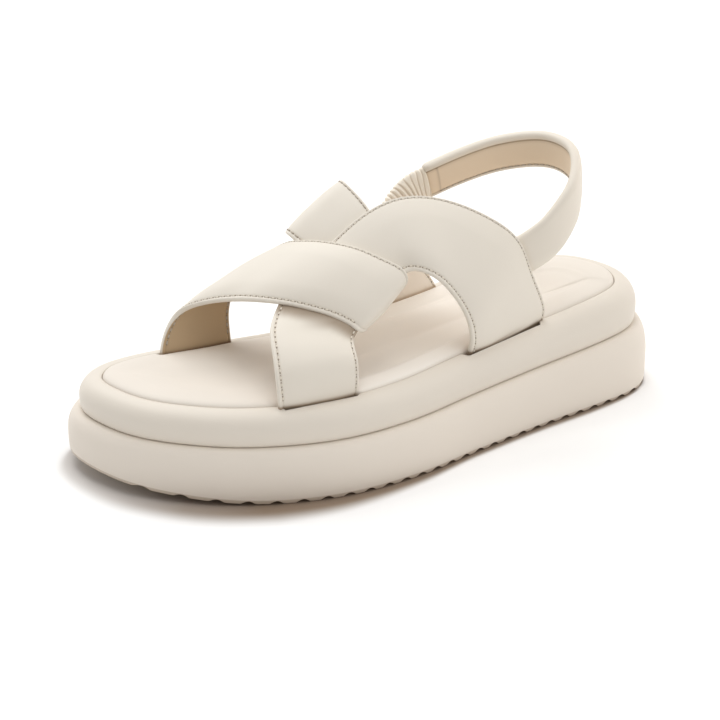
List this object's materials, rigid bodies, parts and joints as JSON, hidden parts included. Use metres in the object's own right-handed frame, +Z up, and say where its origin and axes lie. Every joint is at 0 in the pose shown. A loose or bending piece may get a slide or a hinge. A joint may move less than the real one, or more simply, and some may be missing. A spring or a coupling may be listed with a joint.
{
  "type": "orthopedic sandal",
  "caption": "Left flatform sandal with crossed leather bands, a padded slingback joined by gathered elastic, a dished footbed and a thick rolled sole",
  "frame": {"origin": "on the ground, below the middle of the sole's length and width", "axes": "+Z up, toe towards -Y and heel towards +Y, +X to the foot's outer side"},
  "size_m": [0.1064, 0.264, 0.1112],
  "materials": {
    "sole": "matte off-white moulded foam rubber",
    "rim": "smooth matte off-white artificial leather over foam",
    "footbed": "soft matte off-white lining leather",
    "bands": "smooth matte off-white artificial leather",
    "sling": "smooth matte off-white artificial leather, padded",
    "elastic": "thin leather gathered over elastic"
  },
  "bodies": {
    "root": {"outsole": "sole", "midsole": "rim", "footbed": "footbed", "upper": "bands", "heel_strap": "sling", "elastic_gather": "elastic"}
  },
  "joints": []
}
